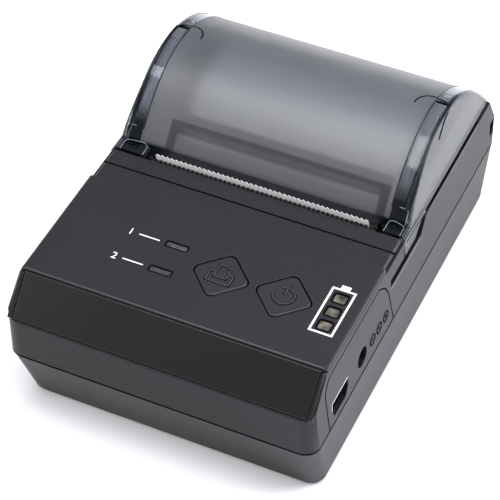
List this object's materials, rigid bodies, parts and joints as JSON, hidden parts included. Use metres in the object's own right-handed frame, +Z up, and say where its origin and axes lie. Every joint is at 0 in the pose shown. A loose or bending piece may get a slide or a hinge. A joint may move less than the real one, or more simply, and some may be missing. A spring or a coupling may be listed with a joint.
{
  "type": "thermal receipt printer",
  "caption": "Portable thermal receipt printer with a clear hinged paper cover, sloped front, top panel with two buttons, status lights and side sockets.",
  "frame": {"origin": "centre of the body's plan, on the table under the feet", "axes": "+X to the user's right, -Y the front, +Z up"},
  "size_m": [0.0804, 0.122, 0.0561],
  "materials": {
    "case_dark": "fine matte grain",
    "fascia_gloss": "glossy",
    "cover_smoke": "clear smoky, frosted dome",
    "black_plastic": "matte",
    "button_grey": "matte",
    "light_pipe": "clear",
    "paper": "matte",
    "card": "matte",
    "rubber": "matte",
    "steel": "satin",
    "aluminium": "satin",
    "brass": "satin",
    "board": "solder resist",
    "gear_white": "satin",
    "ceramic": "glazed strip",
    "battery_wrap": "shrink wrap"
  },
  "bodies": {
    "housing": {"base_shell": "case_dark", "upper_case": "case_dark", "control_panel": "case_dark", "front_fascia": "fascia_gloss", "tear_bezel": "case_dark", "port_panel": "case_dark", "usb_socket": "steel", "power_jack": "black_plastic", "main_board": "board", "board_components": "black_plastic", "button_board": "board", "board_pillars": "case_dark", "feed_switch": "black_plastic", "power_switch": "black_plastic", "indicator_leds": "light_pipe", "error_light": "light_pipe", "charge_light": "light_pipe", "gauge_windows": "light_pipe", "mechanism_frame": "black_plastic", "head_pivot_pin": "steel", "idler_pin": "steel", "stepper_motor": "steel", "paper_sensor": "black_plastic", "paper_well": "black_plastic", "paper_web": "paper", "battery_pack": "battery_wrap", "battery_contacts": "brass", "case_screws": "steel", "rubber_feet": "rubber", "hinge_pins": "steel", "strap_pin": "steel", "head_springs": "steel"},
    "cover": {"cover_shell": "cover_smoke", "platen_holder": "black_plastic", "platen_bushes": "brass"},
    "platen": {"platen_rubber": "rubber", "platen_shaft": "steel", "platen_gear": "gear_white"},
    "idler": {"idler_gear": "gear_white"},
    "pinion": {"motor_pinion": "brass"},
    "head": {"print_head": "ceramic", "heat_sink": "aluminium"},
    "feed_key": {"feed_button": "button_grey"},
    "power_key": {"power_button": "button_grey"},
    "roll": {"paper_roll": "paper", "roll_core": "card"},
    "door": {"battery_door": "case_dark"}
  },
  "joints": [
    {"name": "cover_hinge", "type": "hinge", "parent": "housing", "child": "cover", "pos_m": [0, 0.052, 0.0352], "axis": [-1, 0, 0], "range_deg": [0, 85]},
    {"name": "platen_spin", "type": "hinge", "parent": "cover", "child": "platen", "pos_m": [0.001, 0.0033, 0.034], "axis": [1, 0, 0], "continuous": true},
    {"name": "idler_spin", "type": "hinge", "parent": "housing", "child": "idler", "pos_m": [-0.0358, 0.00002, 0.02498], "axis": [1, 0, 0], "continuous": true},
    {"name": "pinion_spin", "type": "hinge", "parent": "housing", "child": "pinion", "pos_m": [-0.035, -0.00708, 0.02498], "axis": [1, 0, 0], "continuous": true},
    {"name": "head_pivot", "type": "hinge", "parent": "housing", "child": "head", "pos_m": [0.001, 0.00029, 0.02052], "axis": [1, 0, 0], "range_deg": [0, 2.5], "stiffness_Nm_per_rad": 0.5, "springref_deg": -2.86, "deforming": ["head_springs"]},
    {"name": "feed_press", "type": "slide", "parent": "housing", "child": "feed_key", "axis": [0, 0, -1], "range_m": [0, 0.0006], "stiffness_N_per_m": 1500, "springref_m": -0.0004},
    {"name": "power_press", "type": "slide", "parent": "housing", "child": "power_key", "axis": [0, 0, -1], "range_m": [0, 0.0006], "stiffness_N_per_m": 1500, "springref_m": -0.0004},
    {"name": "roll_spin", "type": "hinge", "parent": "housing", "child": "roll", "pos_m": [0.001, 0.0285, 0.028], "axis": [1, 0, 0], "continuous": true},
    {"name": "door_slide", "type": "slide", "parent": "housing", "child": "door", "axis": [0, -1, 0], "range_m": [0, 0.005]}
  ],
  "couplings": [
    {"joint": "idler_spin", "follows": "platen_spin", "ratio": -1.1111},
    {"joint": "pinion_spin", "follows": "platen_spin", "ratio": 2}
  ]
}
